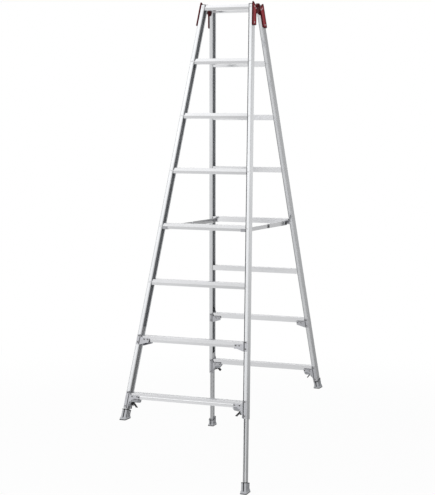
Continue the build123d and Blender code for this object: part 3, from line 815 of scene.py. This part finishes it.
def floor():
    """A pale floor that keeps the shadow near the object and is white further away."""
    mesh = bmesh.new()
    bmesh.ops.create_grid(mesh, x_segments=1, y_segments=1, size=FLOOR_HALF)
    data = bpy.data.meshes.new("floor")
    mesh.to_mesh(data)
    mesh.free()
    made = bpy.data.objects.new("floor", data)
    bpy.context.scene.collection.objects.link(made)
    material = bpy.data.materials.new("floor")
    tree = Tree(material)
    shader = tree.nodes["Principled BSDF"]
    shader.inputs["Base Color"].default_value = (*FLOOR_GREY, 1)
    shader.inputs["Roughness"].default_value = FLOOR_ROUGHNESS
    glow = tree.add("ShaderNodeEmission")
    path = tree.add("ShaderNodeLightPath")
    place = tree.add("ShaderNodeNewGeometry")
    length = tree.add("ShaderNodeVectorMath", operation="LENGTH")
    tree.links.new(place.outputs["Position"], length.inputs[0])
    whiteness = tree.fade(length.outputs["Value"], *FLOOR_FADE, FLOOR_NEAR, 1.0)
    by_camera = tree.product(path.outputs["Is Camera Ray"], whiteness)
    share = tree.combined("MAXIMUM", by_camera, shiny_ray(tree, path))
    surface = mixed(tree, share, shader.outputs["BSDF"], glow.outputs["Emission"])
    tree.links.new(surface, tree.nodes["Material Output"].inputs["Surface"])
    data.materials.append(material)
    made.visible_glossy = False


def room_curve(tree, height, points):
    """The brightness at a height, looked up in a list of heights and brightness."""
    table = tree.add("ShaderNodeFloatCurve")
    line = table.mapping.curves[0]
    ends = (line.points[0], line.points[-1])
    for spot, (level, brightness) in zip(ends, (points[0], points[-1])):
        spot.location = ((level + 1) / 2, brightness / ROOM_TOP)
    for level, brightness in points[1:-1]:
        line.points.new((level + 1) / 2, brightness / ROOM_TOP)
    table.mapping.update()
    tree.links.new(tree.ramp(height, -1.0, 1.0), table.inputs["Value"])
    return tree.ramp(table.outputs["Value"], 0.0, 1.0, 0.0, ROOM_TOP)


def panel(tree, across, rise, fall, level):
    """A factor that is down to a level between two soft edges across the studio."""
    inside = tree.product(tree.fade(across, *rise), tree.fade(across, *fall, 1.0, 0.0))
    return tree.fade(inside, 0.0, 1.0, 1.0, level)


def room_brightness(tree):
    """The studio's brightness by direction: across to the right, in depth to the back, and up."""
    place = tree.add("ShaderNodeTexCoord")
    direction = tree.add("ShaderNodeSeparateXYZ")
    tree.links.new(place.outputs["Generated"], direction.inputs["Vector"])
    across, depth, height = (direction.outputs[axis] for axis in "XYZ")
    front = tree.product(room_curve(tree, height, ROOM_FRONT), tree.fade(across, *FRONT_SLOPE))
    front = tree.product(front, panel(tree, across, *CAMERA_PANEL))
    front = tree.product(front, tree.fade(depth, *FRONT_TO_BACK, 1.0, 0.0))
    back = tree.product(room_curve(tree, height, ROOM_BACK), tree.fade(across, *BACK_SLOPE))
    back = tree.product(back, panel(tree, across, *BACK_PANEL))
    back = tree.product(back, tree.fade(depth, *FRONT_TO_BACK))
    flag = tree.product(tree.fade(across, *FLAG_ACROSS), tree.fade(depth, *FLAG_DEPTH))
    levels = tree.combined("ADD", tree.fade(height, *FLAG_HIGH), tree.fade(height, *FLAG_LOW))
    dark = tree.fade(tree.product(flag, levels), 0.0, 1.0, 1.0, FLAG_DARK)
    return tree.product(tree.combined("ADD", front, back), dark)


def world():
    """White to the camera; metal sees that background as the lit and shaded sides of a studio."""
    made = bpy.data.worlds.new("studio")
    bpy.context.scene.world = made
    tree = Tree(made)
    light = tree.nodes["Background"]
    light.inputs["Color"].default_value = (*SKY_COLOUR, 1)
    light.inputs["Strength"].default_value = SKY_STRENGTH
    white = tree.add("ShaderNodeBackground")
    white.inputs["Color"].default_value = (1, 1, 1, 1)
    path = tree.add("ShaderNodeLightPath")
    strength = tree.add("ShaderNodeMix")
    tree.links.new(path.outputs["Is Camera Ray"], strength.inputs["Factor"])
    tree.links.new(room_brightness(tree), strength.inputs["A"])
    strength.inputs["B"].default_value = 1.0
    tree.links.new(strength.outputs["Result"], white.inputs["Strength"])
    share = tree.combined("MAXIMUM", path.outputs["Is Camera Ray"], shiny_ray(tree, path))
    surface = mixed(tree, share, light.outputs["Background"], white.outputs["Background"])
    tree.links.new(surface, tree.nodes["World Output"].inputs["Surface"])


def key_lamp():
    data = bpy.data.lights.new("key", "AREA")
    data.shape = "RECTANGLE"
    data.size, data.size_y = KEY_SIZE
    data.energy = KEY_POWER
    made = bpy.data.objects.new("key", data)
    made.location = KEY_PLACE
    made.rotation_euler = (KEY_TARGET - KEY_PLACE).to_track_quat("-Z", "Y").to_euler()
    made.visible_glossy = False
    bpy.context.scene.collection.objects.link(made)


def camera():
    data = bpy.data.cameras.new("camera")
    data.lens = CAMERA_LENS
    data.shift_x, data.shift_y = CAMERA_SHIFT
    made = bpy.data.objects.new("camera", data)
    look = (CAMERA_TARGET - CAMERA_PLACE).to_track_quat("-Z", "Y").to_matrix().to_4x4()
    roll = Matrix.Rotation(math.radians(CAMERA_ROLL), 4, "Z")
    made.matrix_world = Matrix.Translation(CAMERA_PLACE) @ look @ roll
    bpy.context.scene.collection.objects.link(made)
    bpy.context.scene.camera = made


dress_nodes()
for ladder_end in ENDS:
    bracket_rivets(ladder_end)
    casting_rivets(ladder_end)
for corner in CORNERS:
    shoe(*corner)
    shoe_rims(*corner)
    lever_ridges(*corner)
bolt_caps()
for ladder_side in SIDES:
    stay_buffers(ladder_side)
floor()
world()
key_lamp()
camera()
bpy.context.scene.view_settings.view_transform = "Standard"
